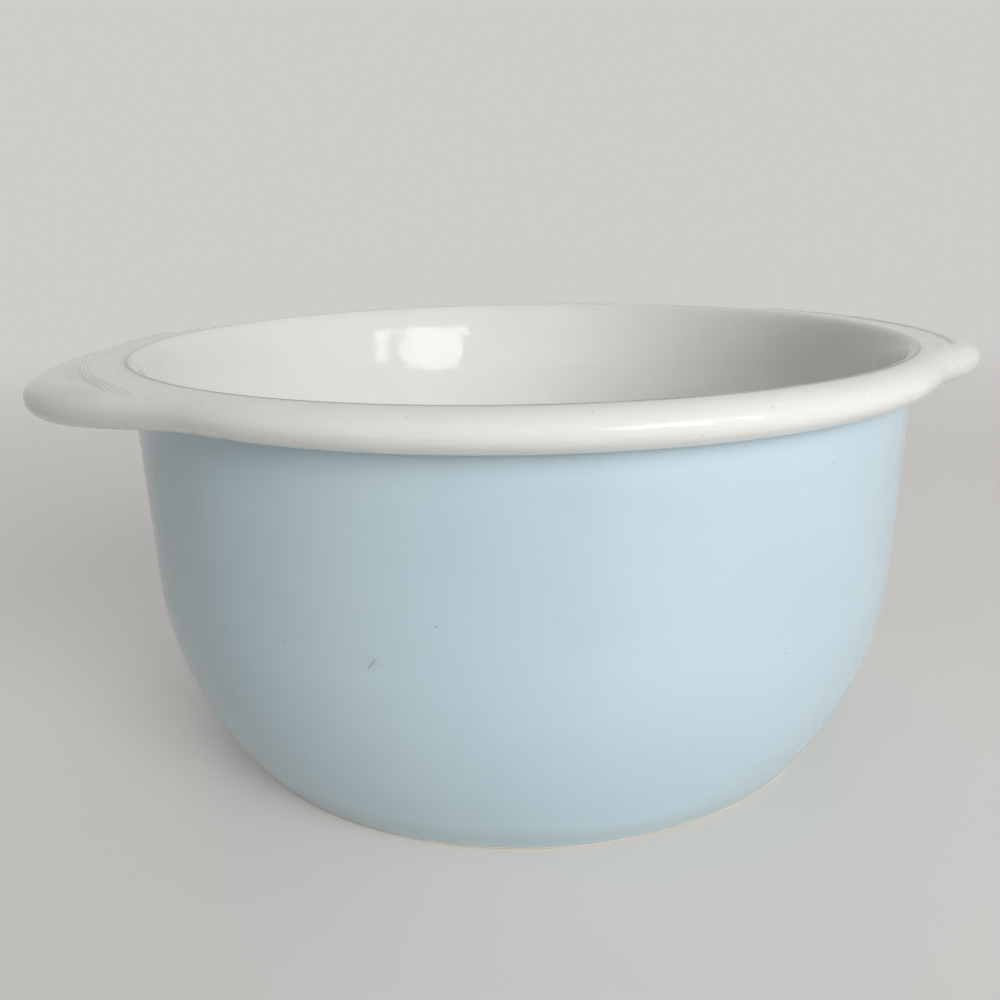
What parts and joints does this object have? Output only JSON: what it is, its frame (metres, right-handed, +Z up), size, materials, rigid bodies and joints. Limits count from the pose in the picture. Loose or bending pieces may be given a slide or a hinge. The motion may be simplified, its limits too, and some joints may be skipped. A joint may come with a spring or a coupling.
{
  "type": "casserole dish",
  "caption": "Round open casserole dish with a rolled white rim, two flat lug handles with grip ridges and a curved blue-glazed wall on a low foot.",
  "frame": {"origin": "centre of the foot ring, on the surface that the dish stands on", "axes": "+Z up out of the mouth, +X through the middle of the right lug handle"},
  "size_m": [0.2456, 0.2122, 0.1024],
  "materials": {
    "bare_biscuit": "matte unglazed stoneware",
    "blue_glaze": "gloss pale blue glaze",
    "white_glaze": "gloss off-white glaze"
  },
  "bodies": {
    "root": {"foot_ring": "bare_biscuit", "bowl_body": "bare_biscuit", "blue_outer_glaze": "blue_glaze", "white_inner_glaze": "white_glaze", "rolled_rim": "white_glaze", "right_lug_handle": "white_glaze", "left_lug_handle": "white_glaze"}
  },
  "joints": []
}
